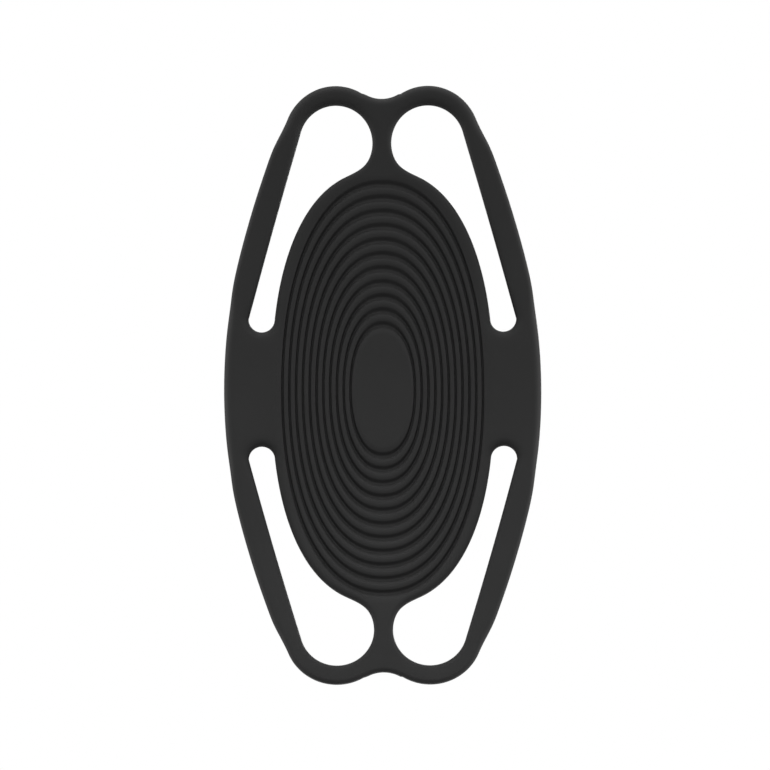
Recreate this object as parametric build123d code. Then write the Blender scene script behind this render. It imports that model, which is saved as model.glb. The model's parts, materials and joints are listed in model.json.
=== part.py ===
"""Handlebar phone mount with a stretch band, a stepped turntable and a rubber strap.

Millimetres. The origin is the centre of the handlebar, +X runs along the bar, +Z is up the phone
and the phone faces -Y. "Depth" is the distance in front of the bar's centre, so depth = -y.
"""
from build123d import *
import math
import os

os.makedirs("parts", exist_ok=True)

# Handlebar and grip
bar_radius = 15.9
bar_clearance = 0.1
grip_length = 24.0
liner_wall = 1.6
liner_half_angle = 62.0
liner_groove_radius = 0.5
liner_groove_count = 5
liner_nut_room = 0.8

# Clearances: turning faces, round fits, fixed parts, soft parts
turn_gap = 0.4
pin_clearance = 0.05
part_clearance = 0.1
thread_clearance = 0.02
rest_gap = 0.3

# How far a cut reaches past the piece it cuts
cut_margin = 3.0

# Base housing
saddle_wall = 5.4
saddle_rim = 0.8
block_corner = 3.0
flange_radius = 19.0
flange_thickness = 3.0
ear_thickness = 3.5
ear_rim = 0.4
ear_root_flare = 2.0
ear_root_overlap = 1.0
drum_height = 5.0
drum_edge = 4.2

# Turntable
turntable_floor_gap = 0.6
turntable_disc = 4.4
turntable_edge = 0.8
drum_side_gap = 0.45
screw_wall = 0.8

# Pivot
shoulder_radius = 3.0
thread_radius = 2.0
shoulder_seat = 1.4
head_overhang = 1.75
head_height = 2.0
hex_socket = 3.0
socket_depth = 1.2
pivot_land = 1.3
disc_spring_height = 0.7
disc_spring_wall = 0.4
disc_spring_overhang = 0.6
washer_width = 3.8
washer_thickness = 0.5
nut_across_flats = 7.0
nut_height = 4.4
nut_cover = 0.3

# Detent
ball_radius = 1.6
ball_contact_gap = 0.02
detent_count = 12
detent_hole = 1.3
detent_ring_half_width = 2.4
detent_ring_thickness = 1.2
detent_ring_inset = 0.6
ball_bore_depth = 6.5
spring_wire = 0.2
spring_radius = 1.25
spring_turns = 5
spring_end_gap = 0.05

# Dust seal
seal_radius = 0.75
seal_height = 2.3

# Plate in the back of the band, its inserts and screws
plate_thickness = 4.6
plate_side_wall = 6.27
plate_end_wall = 14.27
plate_flange_width = 2.0
plate_flange_thickness = 1.6
lip_width = 2.0
lip_thickness = 1.4
screw_radius = 1.5
screw_head_radius = 2.75
screw_head_height = 2.5
screw_head_seat = 3.6
screw_socket = 1.25
screw_tip_gap = 0.2
insert_radius = 2.3
insert_length = 3.8

# Phone band, with its outline's flank as shares of the way to its corner
band_half_width = 34.35
band_thickness = 3.6
dish_radius = 230.0
lobe_x = 10.0
lobe_z = 53.7
lobe_radius = 11.3
notch_rise = 8.6
flank_end = (10.4, 4.4)
flank_end_slope = (-0.43, 1)
flank_shape = (
    (0.971, 0.172),
    (0.885, 0.344),
    (0.733, 0.516),
    (0.523, 0.688),
    (0.280, 0.861),
    (0.115, 0.947),
)
pad_half_width = 24.1
pad_half_height = 47.2
pad_power = 2.35
pad_slot_low = 18.5
pad_slot_high = 71.0
pad_slot_points = 8
slot_head_radius = 7.95
slot_head_drop = 0.75
slot_shoulder = (0.3, 1.95)
neck_flare = (1.35, 1.4)
loop_width = 5.37
loop_width_middle = 10.55
groove_count = 11
groove_first = (6.96, 14.32)
groove_step = (1.472, 3.028)
groove_share = 0.5
groove_depth = 0.8
groove_power = 2.2

# Strap
strap_width = 18.0
strap_thickness = 2.6
strap_pin_radius = 1.5
strap_pin_forward = 4.2
strap_pin_below = 2.1
pin_end_inset = 0.6
eye_wall = 2.2
eye_room = 0.5
entry_back_room = 6.0
entry_pin_room = 1.5
entry_step = 1.2
window_width = 9.2
window_length = 4.5
window_lead = 2.1
spare_window_angles = (125.0, 152.0, 179.0)
curl_radius = 4.0
curl_lead = 4.1
grip_tab = 7.0
strap_cut = 0.2

# Strap hook
hook_forward = 4.6
hook_above = 1.6
hook_plate = 1.4
hook_side_gap = 0.6
hook_lean = 1.1
hook_height = 3.3
foot_side_gap = 1.3
foot_inset = 3.4
hook_screw_x = 5.0
hook_screw_inset = 3.0
hook_screw_head = 2.1
hook_screw_shank = 1.1
hook_screw_length = 7.0

# Worked out from the bar forward
grip_radius = bar_radius + bar_clearance
saddle_radius = grip_radius + liner_wall
base_front = saddle_radius + saddle_wall
base_half_height = saddle_radius + saddle_rim
base_back = saddle_radius * math.cos(math.radians(liner_half_angle))
nut_back = saddle_radius + nut_cover
drum_front = base_front + drum_height
turntable_back = base_front + turn_gap
turntable_floor = drum_front + turntable_floor_gap
turntable_front = turntable_floor + turntable_disc
band_back = turntable_front + plate_thickness
band_front = band_back + band_thickness
dish_centre = band_front + dish_radius

# Worked out from the pivot outward
head_radius = shoulder_radius + head_overhang
head_recess_radius = head_radius + head_overhang
head_recess_floor = turntable_floor + pivot_land
head_back = head_recess_floor + part_clearance / 2 + disc_spring_height
shoulder_end = drum_front - shoulder_seat
washer_radius = shoulder_radius + washer_width
detent_ring_inner = washer_radius + detent_ring_inset
ball_circle = detent_ring_inner + detent_ring_half_width
detent_ring_outer = ball_circle + detent_ring_half_width
ball_bore_floor = drum_front - ball_bore_depth
ball_bore_radius = ball_radius + pin_clearance
ball_set_back = math.sqrt((ball_radius + ball_contact_gap) ** 2 - detent_hole**2)
ball_depth = turntable_floor - ball_set_back
drum_radius = ball_circle + drum_edge
seal_depth = base_front + seal_height
counterbore_radius = drum_radius + drum_side_gap
carrier_circle = counterbore_radius + screw_head_radius + screw_wall
turntable_radius = carrier_circle + screw_head_radius + screw_wall
plate_half_width = carrier_circle / math.sqrt(2) + plate_side_wall
plate_half_height = carrier_circle / math.sqrt(2) + plate_end_wall

# Worked out for the strap and its hook
strap_middle = grip_radius + strap_thickness / 2
strap_pin_depth = base_back + strap_pin_forward
strap_pin_drop = base_half_height + strap_pin_below
eye_outer = strap_pin_radius + pin_clearance + eye_wall
eye_slot = strap_width + 2 * rest_gap
strap_pin_length = eye_slot + 2 * (ear_thickness - pin_end_inset)
base_half_width = eye_slot / 2 + ear_thickness
hook_depth = base_back + hook_forward
hook_rise = base_half_height + hook_above
hook_width = window_width - 2 * hook_side_gap
hook_tip = hook_rise + hook_height
window_back = hook_depth - window_lead
curl_start = hook_depth + curl_lead
foot_top = hook_rise - strap_thickness / 2 - 2 * rest_gap
foot_half_width = eye_slot / 2 - foot_side_gap
foot_front = base_front - foot_inset
hook_screw_depth = foot_front - hook_screw_inset


def at_depth(depth):
    """A plane across the mount, facing the phone."""
    return Plane.XZ.offset(depth)


def disc(radius, back, front):
    """A round slab about the turning axis."""
    return extrude(at_depth(back) * Circle(radius), front - back)


def disc_at(x, z, radius, back, front):
    """A round slab about an axis beside the turning axis."""
    return extrude(at_depth(back) * Pos(x, z) * Circle(radius), front - back)


def hexagon(inner_radius):
    return RegularPolygon(inner_radius, 6, major_radius=False)


def bar_rod(depth, z, radius, length):
    """A rod along the handlebar's direction."""
    return extrude(Plane.YZ * Pos(-depth, z) * Circle(radius), length / 2, both=True)


def side_block(points, width):
    """A prism along the bar from its outline in depth and height."""
    outline = Polyline(*[(-depth, z) for depth, z in points], close=True)
    return extrude(Plane.YZ * make_face(outline), width / 2, both=True)


def carrier_places():
    """The four screw places, as x and z."""
    side = carrier_circle / math.sqrt(2)
    return [(x, z) for x in (-side, side) for z in (-side, side)]


def superellipse_point(half_width, half_height, power, angle):
    c = math.cos(angle)
    s = math.sin(angle)
    scale = (abs(c) ** power + abs(s) ** power) ** (-1 / power)
    return (half_width * c * scale, half_height * s * scale)


def superellipse(half_width, half_height, power, count=16):
    """A closed superellipse face."""
    turns = [2 * math.pi * i / count for i in range(count)]
    points = [superellipse_point(half_width, half_height, power, turn) for turn in turns]
    return make_face(Spline(*points, periodic=True))


# ---------------------------------------------------------------- phone band
def band_outline():
    """The outer edge of the band, one quarter mirrored twice."""
    end_x = lobe_x + flank_end[0]
    end_z = lobe_z + flank_end[1]
    spread = band_half_width - end_x
    flank_points = [(end_x + spread * wide, end_z * high) for wide, high in flank_shape]
    flank = Spline(
        (band_half_width, 0),
        *flank_points,
        (end_x, end_z),
        tangents=[(0, 1), flank_end_slope],
    )
    notch_z = lobe_z + notch_rise
    notch_radius = notch_arc_radius()
    notch_centre = notch_z + notch_radius
    reach = math.hypot(lobe_x, notch_centre - lobe_z)
    join_x = lobe_x - lobe_radius * lobe_x / reach
    join_z = lobe_z + lobe_radius * (notch_centre - lobe_z) / reach
    lobe = ThreePointArc((end_x, end_z), (lobe_x, lobe_z + lobe_radius), (join_x, join_z))
    half_angle = math.asin(join_x / notch_radius) / 2
    notch_side = (
        notch_radius * math.sin(half_angle),
        notch_centre - notch_radius * math.cos(half_angle),
    )
    notch = ThreePointArc((join_x, join_z), notch_side, (0, notch_z))
    return mirrored_outline([flank, lobe, notch])


def notch_arc_radius():
    """Radius of the dip between two loops, tangent to both of their round heads."""
    return (lobe_x**2 + notch_rise**2 - lobe_radius**2) / (2 * (lobe_radius - notch_rise))


def mirrored_outline(quarter):
    """A closed face from the edges of its upper right quarter."""
    upper = quarter + [mirror(edge, about=Plane.YZ) for edge in quarter]
    edges = upper + [mirror(edge, about=Plane.XZ) for edge in upper]
    return make_face(Wire.combine(edges)[0])


def slot_outline():
    """The upper right slot, between the pad and its loop."""
    pad = (pad_half_width, pad_half_height, pad_power)
    pad_step = (pad_slot_high - pad_slot_low) / (pad_slot_points - 1)
    angles = [pad_slot_low + pad_step * i for i in range(pad_slot_points)]
    pad_points = [superellipse_point(*pad, math.radians(angle)) for angle in angles]
    low_x, low_z = pad_points[0]
    top_x, top_z = pad_points[-1]
    head_x = lobe_x
    head_z = lobe_z - slot_head_drop
    side_low = (band_half_width - loop_width, low_z)
    side_middle = (band_half_width - loop_width_middle, (low_z + head_z) / 2)
    side_high = (head_x + slot_head_radius - slot_shoulder[0], head_z + slot_shoulder[1])
    neck = (head_x - slot_head_radius, head_z)
    slope = (pad_points[-2][0] - top_x, pad_points[-2][1] - top_z)
    end_x = (low_x + side_low[0]) / 2
    end_z = low_z - (side_low[0] - low_x) / 2
    side = ThreePointArc(side_low, side_middle, side_high)
    head = ThreePointArc(side_high, (head_x, head_z + slot_head_radius), neck)
    neck_low = (neck[0] + neck_flare[0], pad_half_height + neck_flare[1])
    neck_side = Spline(neck, neck_low, (top_x, top_z), tangents=[(0, -1), slope])
    pad_edge = Spline(*reversed(pad_points))
    end = ThreePointArc((low_x, low_z), (end_x, end_z), side_low)
    return make_face(Wire.combine([side, head, neck_side, pad_edge, end])[0])


def in_front_of(radius):
    """The space inside a bowed surface, seen from the phone's side."""
    bow = Plane.YZ * Pos(-dish_centre, 0) * Circle(radius)
    return extrude(bow, band_half_width + cut_margin, both=True)


def through_band(face):
    """A prism through the whole depth of the bowed band."""
    tip = lobe_z + lobe_radius
    bow = dish_radius - math.sqrt(dish_radius**2 - tip**2)
    return extrude(at_depth(band_back - cut_margin) * face, band_thickness + bow + 2 * cut_margin)


def groove_rings():
    """The ribbed pad's grooves, each a ring of the same shape at its own size."""
    dx = groove_step[0] * groove_share / 2
    dz = groove_step[1] * groove_share / 2
    floor = in_front_of(dish_radius + groove_depth)
    cuts = []
    for i in range(groove_count):
        width = groove_first[0] + groove_step[0] * i
        height = groove_first[1] + groove_step[1] * i
        outer = superellipse(width + dx, height + dz, groove_power)
        inner = superellipse(width - dx, height - dz, groove_power)
        cuts.append(through_band(outer - inner) & floor)
    return cuts


def make_phone_band():
    slot = slot_outline()
    slots = [slot, mirror(slot, about=Plane.YZ)]
    slots += [mirror(face, about=Plane.XZ) for face in slots]
    outline = band_outline()
    for face in slots:
        outline -= face
    slab = through_band(outline)
    band = (slab & in_front_of(dish_radius + band_thickness)) - in_front_of(dish_radius)
    return band.solid() - groove_rings() + make_plate_lip()


def plate_ellipse(grow):
    """The plate's oval, grown by a margin all round."""
    return Ellipse(plate_half_width + grow, plate_half_height + grow)


def behind_band(face, depth):
    """A prism from a flat depth forward to the bowed back of the band."""
    block = extrude(at_depth(depth) * face, band_front - depth)
    return block - in_front_of(dish_radius + band_thickness)


def make_plate_lip():
    """The moulded lip that holds the plate by its flange."""
    flange_back = band_back - plate_flange_thickness
    lip = behind_band(plate_ellipse(plate_flange_width + lip_width), flange_back - lip_thickness)
    pocket = behind_band(plate_ellipse(plate_flange_width + part_clearance), flange_back)
    hole = behind_band(plate_ellipse(part_clearance), flange_back - lip_thickness)
    return lip - pocket - hole


# ---------------------------------------------------------------- plate and turntable
def make_insert_plate():
    boss = behind_band(plate_ellipse(0), turntable_front)
    flange = behind_band(plate_ellipse(plate_flange_width), band_back - plate_flange_thickness)
    plate = boss + flange
    for x, z in carrier_places():
        plate -= disc_at(x, z, insert_radius, turntable_front, turntable_front + insert_length)
    return plate


def make_threaded_inserts():
    bore = screw_radius + thread_clearance
    inserts = []
    for x, z in carrier_places():
        sleeve = disc_at(x, z, insert_radius, turntable_front, turntable_front + insert_length)
        inserts.append(sleeve - disc_at(x, z, bore, turntable_front, band_back))
    return Compound(children=inserts)


def make_carrier_screws():
    seat = turntable_back + screw_head_seat
    tip = turntable_front + insert_length - screw_tip_gap
    screws = []
    for x, z in carrier_places():
        head = disc_at(x, z, screw_head_radius, seat - screw_head_height, seat)
        head_top = at_depth(seat - screw_head_height) * Pos(x, z)
        head -= extrude(head_top * hexagon(screw_socket), screw_head_height / 2)
        screws.append(head + disc_at(x, z, screw_radius, seat, tip))
    return Compound(children=screws)


def make_turntable():
    table = disc(turntable_radius, turntable_back, turntable_front)
    rims = table.edges().filter_by(GeomType.CIRCLE)
    table = fillet(rims, turntable_edge)
    table -= disc(counterbore_radius, turntable_back, turntable_floor)
    ring = disc(detent_ring_outer, turntable_floor, turntable_floor + detent_ring_thickness)
    table -= ring - disc(detent_ring_inner, turntable_floor, turntable_front)
    table -= disc(head_recess_radius, head_recess_floor, turntable_front)
    table -= disc(shoulder_radius + pin_clearance, turntable_floor, turntable_front)
    seat = turntable_back + screw_head_seat
    for x, z in carrier_places():
        table -= disc_at(x, z, screw_head_radius + part_clearance, turntable_back, seat)
        table -= disc_at(x, z, screw_radius + part_clearance, seat, turntable_front)
    return table


def make_detent_ring():
    front = turntable_floor + detent_ring_thickness
    ring = disc(detent_ring_outer, turntable_floor, front)
    ring -= disc(detent_ring_inner, turntable_floor, front)
    for i in range(detent_count):
        angle = 2 * math.pi * i / detent_count
        x = ball_circle * math.cos(angle)
        z = ball_circle * math.sin(angle)
        ring -= disc_at(x, z, detent_hole, turntable_floor, front)
    return ring


# ---------------------------------------------------------------- detent and pivot
def make_detent_ball(side):
    return Pos(side * ball_circle, -ball_depth, 0) * Sphere(ball_radius)


def make_detent_spring(side):
    """A compression spring from the floor of its bore to the back of the ball."""
    contact = math.sqrt(ball_radius**2 - spring_radius**2)
    ends = 2 * (spring_wire + spring_end_gap) + part_clearance
    length = ball_depth - contact - ball_bore_floor - ends
    path = Helix(length / spring_turns, length, spring_radius)
    section = Plane(path @ 0, z_dir=path % 0) * Circle(spring_wire)
    coil = sweep(section, path=path, is_frenet=True)
    start = Pos(side * ball_circle, -ball_bore_floor - spring_wire - spring_end_gap, 0)
    return start * Rot(90, 0, 0) * coil


def make_friction_washer():
    front = drum_front + washer_thickness
    washer = disc(washer_radius, drum_front, front)
    return washer - disc(shoulder_radius + part_clearance, drum_front, front)


def make_dust_seal():
    major = counterbore_radius - pin_clearance - seal_radius
    return Pos(0, -seal_depth, 0) * Rot(90, 0, 0) * Torus(major, seal_radius)


def make_pivot_screw():
    screw = disc(head_radius, head_back, head_back + head_height)
    screw += disc(shoulder_radius, shoulder_end, head_back)
    screw += disc(thread_radius, nut_back, shoulder_end)
    socket = at_depth(head_back + head_height - socket_depth) * hexagon(hex_socket / 2)
    return screw - extrude(socket, head_height)


def make_disc_spring():
    """A coned washer under the screw's head."""
    inner = shoulder_radius + pin_clearance
    outer = head_radius + disc_spring_overhang
    low = head_back - disc_spring_height
    high = head_back - disc_spring_wall
    corners = [(inner, high), (inner, head_back), (outer, low + disc_spring_wall), (outer, low)]
    profile = make_face(Polyline(*[(x, -depth) for x, depth in corners], close=True))
    return revolve(profile, Axis.Y)


def make_pivot_nut():
    nut = extrude(at_depth(nut_back) * hexagon(nut_across_flats / 2), nut_height)
    return nut - disc(thread_radius + thread_clearance, nut_back, nut_back + nut_height)


# ---------------------------------------------------------------- base
def make_base_housing():
    block = Pos(0, -(base_back + base_front) / 2, 0) * Box(
        2 * base_half_width, base_front - base_back, 2 * base_half_height
    )
    block = fillet(block.edges().filter_by(Axis.Y), block_corner)
    base = block + disc(flange_radius, base_front - flange_thickness, base_front)
    base += make_ears()
    base += disc(drum_radius, base_front, drum_front)
    base -= extrude(Plane.YZ * Circle(saddle_radius), base_half_width + cut_margin, both=True)
    base -= bar_rod(strap_pin_depth, -strap_pin_drop, eye_outer + eye_room, eye_slot)
    base -= bar_rod(strap_pin_depth, -strap_pin_drop, strap_pin_radius, strap_pin_length)
    base -= strap_entry()
    base -= foot_pocket()
    base -= disc(shoulder_radius + pin_clearance, shoulder_end, drum_front)
    base -= disc(thread_radius + part_clearance, 0, shoulder_end)
    base -= extrude(at_depth(0) * hexagon(nut_across_flats / 2 + part_clearance), nut_back + nut_height)
    for side in (-1, 1):
        base -= disc_at(side * ball_circle, 0, ball_bore_radius, ball_bore_floor, drum_front)
    base -= seal_groove()
    return base - make_hook_screws(part_clearance / 2)


def make_ears():
    """Two ears under the block that carry the strap's pin."""
    reach = eye_outer + ear_rim
    ears = bar_rod(strap_pin_depth, -strap_pin_drop, reach, eye_slot + 2 * ear_thickness)
    root = side_block(
        [
            (strap_pin_depth - reach, -strap_pin_drop),
            (strap_pin_depth + reach, -strap_pin_drop),
            (strap_pin_depth + reach + ear_root_flare, ear_root_overlap - base_half_height),
            (strap_pin_depth - reach, ear_root_overlap - base_half_height),
        ],
        eye_slot + 2 * ear_thickness,
    )
    return ears + root


def strap_entry():
    """Room behind the pin for the strap to come in from the bar."""
    room = side_block(
        [
            (0, -strap_middle - strap_thickness - entry_back_room),
            (strap_pin_depth, -strap_pin_drop - eye_outer - entry_pin_room),
            (strap_pin_depth, -strap_pin_drop + eye_outer - entry_step),
            (0, -grip_radius),
        ],
        eye_slot,
    )
    return room


def foot_pocket():
    """The seat of the hook's foot, in the top of the block."""
    foot_floor = foot_top - hook_plate
    return side_block(
        [
            (base_back - cut_margin, foot_floor),
            (foot_front + part_clearance, foot_floor),
            (foot_front + part_clearance, base_half_height + cut_margin),
            (base_back - cut_margin, base_half_height + cut_margin),
        ],
        eye_slot,
    )


def seal_groove():
    """The seal's groove round the drum."""
    half = seal_radius + part_clearance
    floor = counterbore_radius - pin_clearance - 2 * seal_radius - thread_clearance
    ring = disc(drum_radius + cut_margin, seal_depth - half, seal_depth + half)
    return ring - disc(floor, seal_depth - half, seal_depth + half)


def make_saddle_pad():
    """The soft liner between the base and the bar, with grip grooves along it."""
    angle = liner_half_angle
    ring = Circle(saddle_radius) - Circle(grip_radius)
    reach = 3 * saddle_radius
    far = reach * math.tan(math.radians(90 - angle))
    wedge = make_face(Polyline((0, 0), (-far, reach), (-far, -reach), close=True))
    pad = extrude(Plane.YZ * (ring & wedge), grip_length / 2, both=True)
    spread = 2 * angle / (liner_groove_count + 1)
    for i in range(liner_groove_count):
        turn = math.radians(-angle + spread * (i + 1))
        depth = grip_radius * math.cos(turn)
        pad -= bar_rod(depth, grip_radius * math.sin(turn), liner_groove_radius, grip_length)
    return pad - disc(nut_across_flats / 2 + liner_nut_room, 0, base_back + saddle_radius)


# ---------------------------------------------------------------- strap
def tangent_angle(depth, z):
    """Where a straight run from a point meets the strap's middle circle, from the front over the top."""
    away = math.hypot(depth, z)
    turn = math.acos(strap_middle / away)
    return math.atan2(z, depth) + math.copysign(turn, z)


def circle_point(radius, angle):
    return (-radius * math.cos(angle), radius * math.sin(angle))


def strap_lines():
    """The strap's middle line: pin, bar, hook, curl and grip, as y and z points."""
    low = tangent_angle(strap_pin_depth, -strap_pin_drop)
    high = tangent_angle(hook_depth, hook_rise)
    low_point = circle_point(strap_middle, low)
    high_point = circle_point(strap_middle, high)
    pin_point = (-strap_pin_depth, -strap_pin_drop)
    run_y = -hook_depth - high_point[0]
    run_z = hook_rise - high_point[1]
    slope = run_z / run_y
    cut_z = high_point[1] - high_point[0] * slope
    curl_point = (-curl_start, hook_rise + (hook_depth - curl_start) * slope)
    heading = math.atan2(run_z, -run_y)
    centre = (
        curl_point[0] + curl_radius * math.sin(heading),
        curl_point[1] + curl_radius * math.cos(heading),
    )
    return {
        "pin": pin_point,
        "low": low_point,
        "high": high_point,
        "cut": (0, cut_z),
        "curl": curl_point,
        "curl_mid": (
            centre[0] - curl_radius * math.cos(math.radians(45) - heading / 2),
            centre[1] - curl_radius * math.sin(math.radians(45) - heading / 2),
        ),
        "curl_end": (centre[0] - curl_radius, centre[1]),
        "tip": (centre[0] - curl_radius, centre[1] + grip_tab),
    }


def strap_ribbon(path):
    """A flat strap that follows a line."""
    start = path @ 0
    along = path % 0
    across = Plane(origin=start, x_dir=(1, 0, 0), z_dir=along)
    return sweep(across * Rectangle(strap_width, strap_thickness), path=path, transition=Transition.RIGHT)


def strap_line(*edges):
    return Plane.YZ * Wire(edges)


def beyond_cut(side):
    """The space on one side of the thin cut between the wrap and the tab, over the bar."""
    reach = 2 * base_half_height
    return Pos(0, side * (reach - strap_cut) / 2, reach / 2) * Box(reach, reach, reach)


def make_strap_wrap():
    p = strap_lines()
    back = (strap_middle, 0)
    lower = strap_ribbon(strap_line(Line(p["pin"], p["low"])))
    round_bar = strap_ribbon(strap_line(ThreePointArc(p["low"], back, p["high"])))
    upper = strap_ribbon(strap_line(Line(p["high"], p["cut"])))
    strap = lower + round_bar + upper
    strap += bar_rod(strap_pin_depth, -strap_pin_drop, eye_outer, strap_width)
    strap -= bar_rod(strap_pin_depth, -strap_pin_drop, strap_pin_radius + pin_clearance, eye_slot)
    strap -= beyond_cut(-1)
    for angle in spare_window_angles:
        window = Pos(0, 0, strap_middle) * Box(window_width, window_length, 3 * strap_thickness)
        strap -= Rot(90 - angle, 0, 0) * window
    return strap


def make_strap_tab():
    p = strap_lines()
    run = strap_ribbon(strap_line(Line(p["cut"], p["curl"])))
    curl = strap_ribbon(strap_line(ThreePointArc(p["curl"], p["curl_mid"], p["curl_end"])))
    grip = strap_ribbon(strap_line(Line(p["curl_end"], p["tip"])))
    strap = run + curl + grip
    strap -= beyond_cut(1)
    middle = window_back + window_length / 2
    return strap - Pos(0, -middle, hook_rise) * Box(window_width, window_length, 3 * strap_thickness)


def make_strap_pin():
    return bar_rod(strap_pin_depth, -strap_pin_drop, strap_pin_radius, strap_pin_length)


def make_strap_hook():
    """A bent steel hook: a foot under the strap and a finger up through its window."""
    floor = foot_top - hook_plate
    back = hook_depth - hook_plate
    foot = side_block(
        [(back, floor), (foot_front, floor), (foot_front, foot_top), (back, foot_top)],
        2 * foot_half_width,
    )
    finger = side_block(
        [
            (back, floor),
            (hook_depth, floor),
            (hook_depth + hook_lean, hook_tip),
            (back + hook_lean, hook_tip),
        ],
        hook_width,
    )
    return foot + finger - make_hook_screws(0)


def make_hook_screws(grow):
    """Two countersunk screws through the hook's foot."""
    screws = []
    for side in (-1, 1):
        place = Pos(side * hook_screw_x, -hook_screw_depth, foot_top)
        taper = hook_screw_head - hook_screw_shank
        cone = Pos(0, 0, -taper / 2) * Cone(hook_screw_shank + grow, hook_screw_head + grow, taper)
        shank = Pos(0, 0, -hook_screw_length / 2) * Cylinder(hook_screw_shank + grow, hook_screw_length)
        screws.append(place * (cone + shank))
    return Compound(children=screws)


def save(name, shape):
    export_step(shape, f"parts/{name}.step")


save("phone_band", make_phone_band())
save("insert_plate", make_insert_plate())
save("threaded_inserts", make_threaded_inserts())
save("carrier_screws", make_carrier_screws())
save("turntable", make_turntable())
save("detent_ring", make_detent_ring())
save("detent_ball_left", make_detent_ball(-1))
save("detent_ball_right", make_detent_ball(1))
save("detent_spring_left", make_detent_spring(-1))
save("detent_spring_right", make_detent_spring(1))
save("friction_washer", make_friction_washer())
save("dust_seal", make_dust_seal())
save("pivot_screw", make_pivot_screw())
save("disc_spring", make_disc_spring())
save("pivot_nut", make_pivot_nut())
save("base_housing", make_base_housing())
save("saddle_pad", make_saddle_pad())
save("strap_pin", make_strap_pin())
save("strap_wrap", make_strap_wrap())
save("strap_tab", make_strap_tab())
save("strap_hook", make_strap_hook())
save("hook_screws", make_hook_screws(0))
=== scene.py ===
"""Looks of the handlebar phone mount: a matt silicone band, its turntable, saddle and rubber strap.

Metres. The origin is the centre of the handlebar, +X runs along the bar, +Z is up the phone and the
phone faces -Y. "Depth" is the distance in front of the bar's centre, so depth = -y.
"""
import json
import math

import bmesh
import bpy
import numpy as np
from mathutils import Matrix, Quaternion, Vector
from mathutils.geometry import delaunay_2d_cdt


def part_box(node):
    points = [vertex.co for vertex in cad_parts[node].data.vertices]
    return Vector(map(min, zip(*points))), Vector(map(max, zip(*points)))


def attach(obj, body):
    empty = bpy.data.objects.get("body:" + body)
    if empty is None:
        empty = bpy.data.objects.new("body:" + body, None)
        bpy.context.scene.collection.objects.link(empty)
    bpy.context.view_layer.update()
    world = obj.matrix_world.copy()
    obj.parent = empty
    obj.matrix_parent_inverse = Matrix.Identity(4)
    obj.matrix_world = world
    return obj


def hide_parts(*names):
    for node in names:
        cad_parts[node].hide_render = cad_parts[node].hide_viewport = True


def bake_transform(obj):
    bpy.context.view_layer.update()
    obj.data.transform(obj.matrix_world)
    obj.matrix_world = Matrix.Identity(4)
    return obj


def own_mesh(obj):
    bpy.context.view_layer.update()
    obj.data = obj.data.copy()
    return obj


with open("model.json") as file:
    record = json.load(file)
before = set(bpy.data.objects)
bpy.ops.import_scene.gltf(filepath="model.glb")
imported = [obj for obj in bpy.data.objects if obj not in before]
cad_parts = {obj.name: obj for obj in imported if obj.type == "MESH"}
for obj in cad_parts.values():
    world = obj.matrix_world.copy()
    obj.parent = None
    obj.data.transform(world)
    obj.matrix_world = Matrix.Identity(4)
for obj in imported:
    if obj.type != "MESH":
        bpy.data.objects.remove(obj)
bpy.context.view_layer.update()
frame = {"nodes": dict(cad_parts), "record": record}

MM = 0.001

# Phone band, in millimetres, seen flat from the front
BAND_HALF = 1.8  # half the thickness
DISH_MIDDLE = 231.8  # radius of the bow, halfway through the thickness
BAND_MIDDLE_DEPTH = 39.4  # depth of that halfway surface, at the pad's centre
LOBE = (10.0, 53.7)  # centre and radius of the upper right loop
LOBE_RADIUS = 11.3
NOTCH_CENTRE = 69.5  # the hollow between the two upper loops
NOTCH_RADIUS = 7.2
FLANK = (  # outer edge, from the middle of a wing up to the loop
    (34.35, 0.0),
    (34.2, 6.0),
    (33.52, 14.0),
    (32.97, 18.0),
    (32.42, 22.0),
    (31.6, 26.0),
    (29.5, 34.0),
    (27.05, 42.0),
    (24.98, 48.0),
    (23.42, 52.0),
    (21.9, 55.0),
    (20.4, 58.1),
)
FLANK_END_SLOPE = (-0.43, 1)
PAD = (24.1, 47.2, 2.35)  # half width, half height and power of the pad's oval
PAD_EDGE_SPAN = (71.0, 18.5)  # degrees of that oval that a slot runs along
SLOT_HEAD = (10.0, 52.95)  # round end of the upper right slot
SLOT_HEAD_RADIUS = 7.95
SLOT_SIDE_TOP = (-0.3, 1.95)  # where its outer side starts, from the head's right-hand edge
SLOT_SIDE_BULGE = 23.8  # the outer side's x, halfway down
SLOT_SIDE_LOW = 28.98  # its x at the low end
NECK_FOOT = (3.4, 48.6)
OUTLINE_STEP = 0.15
BAND_EDGE_STEP = 0.55
SLOT_EDGE_STEP = 0.5
BAND_FILL_STEP = 1.6

# Ring grooves of the pad, in millimetres
GROOVE_POWER = 2.2  # power of their ovals
GROOVE_ASPECT = 2.057  # height over width
GROOVE_FIRST = 6.96  # half width of the innermost groove
GROOVE_PITCH = 1.472
GROOVE_COUNT = 11
GROOVE_DEPTH = 0.8
GROOVE_HALF_SIDE = 0.22  # half of a groove's width at the sides, as a share of the pitch
GROOVE_HALF_TOP = 0.31  # the same above and below the middle
GROOVE_DROP = 0.5  # how far the grooves sit below the middle of the band
GROOVE_POINTS = 220
GROOVE_SHARES = (-1, -0.85, -0.71, -0.57, -0.43, -0.28, -0.14, 0, 0.14, 0.28, 0.43, 0.57, 0.71, 0.85, 1)
PLAIN_OVAL_RINGS = (0.12, 0.3, 0.5, 0.7, 0.85)

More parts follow.
